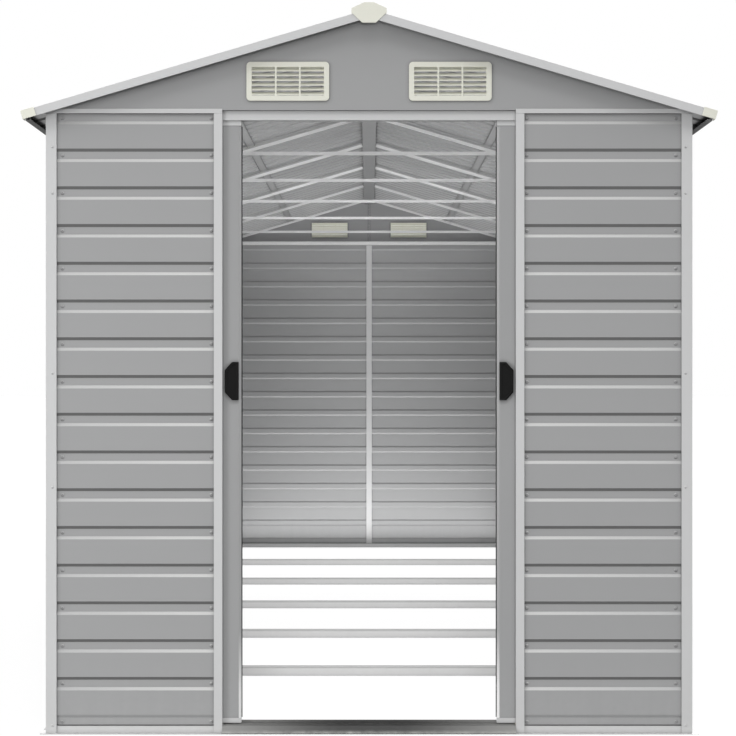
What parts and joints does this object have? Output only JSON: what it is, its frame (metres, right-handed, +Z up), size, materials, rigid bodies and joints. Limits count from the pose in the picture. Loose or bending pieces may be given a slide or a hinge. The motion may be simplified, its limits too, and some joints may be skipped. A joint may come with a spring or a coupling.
{
  "type": "metal storage shed",
  "caption": "Long gabled garden shed of ribbed grey sheet metal with light folded trims, louvred gable vents and a pair of sliding doors standing open",
  "frame": {"origin": "on the ground, in the middle of the plan", "axes": "+X to the right seen from the doors, +Y from the door wall to the rear wall, +Z up"},
  "size_m": [1.897, 5.5046, 1.9972],
  "materials": {
    "wall_sheet": "satin grey paint on ribbed sheet",
    "roof_sheet": "satin grey paint on ribbed sheet",
    "trim": "satin light grey paint on folded sheet",
    "frame": "light grey paint on folded sheet",
    "sill": "dark grey paint, worn",
    "vent_plastic": "matt cream moulding",
    "handle_plastic": "black moulding",
    "shoe_plastic": "self-coloured nylon"
  },
  "bodies": {
    "shed": {"door_lower_track": "sill", "door_sill": "sill", "door_upper_track": "trim", "eave_end_caps": "vent_plastic", "floor_bars": "frame", "front_base_rail": "trim", "front_gable": "wall_sheet", "front_left_corner_post": "trim", "front_left_panel": "wall_sheet", "front_ridge_end_cap": "vent_plastic", "front_right_corner_post": "trim", "front_right_panel": "wall_sheet", "front_top_rails": "trim", "front_vents": "vent_plastic", "front_verge_trims": "trim", "left_base_rail": "trim", "left_door_jamb": "trim", "left_eave_trim": "trim", "left_purlin": "roof_sheet", "left_rafters": "frame", "left_roof_sheets": "roof_sheet", "left_top_rail": "trim", "left_wall_panels": "wall_sheet", "left_wall_posts": "trim", "rear_base_rail": "trim", "rear_centre_post": "trim", "rear_gable": "wall_sheet", "rear_left_corner_post": "trim", "rear_left_panel": "wall_sheet", "rear_ridge_end_cap": "vent_plastic", "rear_right_corner_post": "trim", "rear_right_panel": "wall_sheet", "rear_top_rail": "trim", "rear_vents": "vent_plastic", "rear_verge_trims": "trim", "ridge_beam": "roof_sheet", "ridge_capping": "trim", "right_base_rail": "trim", "right_door_jamb": "trim", "right_eave_trim": "trim", "right_purlin": "roof_sheet", "right_rafters": "frame", "right_roof_sheets": "roof_sheet", "right_top_rail": "trim", "right_wall_panels": "wall_sheet", "right_wall_posts": "trim", "tie_bars": "frame"},
    "left_door": {"left_door_leaf": "wall_sheet", "left_door_rails": "trim", "left_door_shoes": "shoe_plastic", "left_door_handle": "handle_plastic"},
    "right_door": {"right_door_leaf": "wall_sheet", "right_door_rails": "trim", "right_door_shoes": "shoe_plastic", "right_door_handle": "handle_plastic"}
  },
  "joints": [
    {"name": "left_door_slide", "type": "slide", "parent": "shed", "child": "left_door", "axis": [1, 0, 0], "range_m": [0, 0.349]},
    {"name": "right_door_slide", "type": "slide", "parent": "shed", "child": "right_door", "axis": [-1, 0, 0], "range_m": [0, 0.349]}
  ]
}
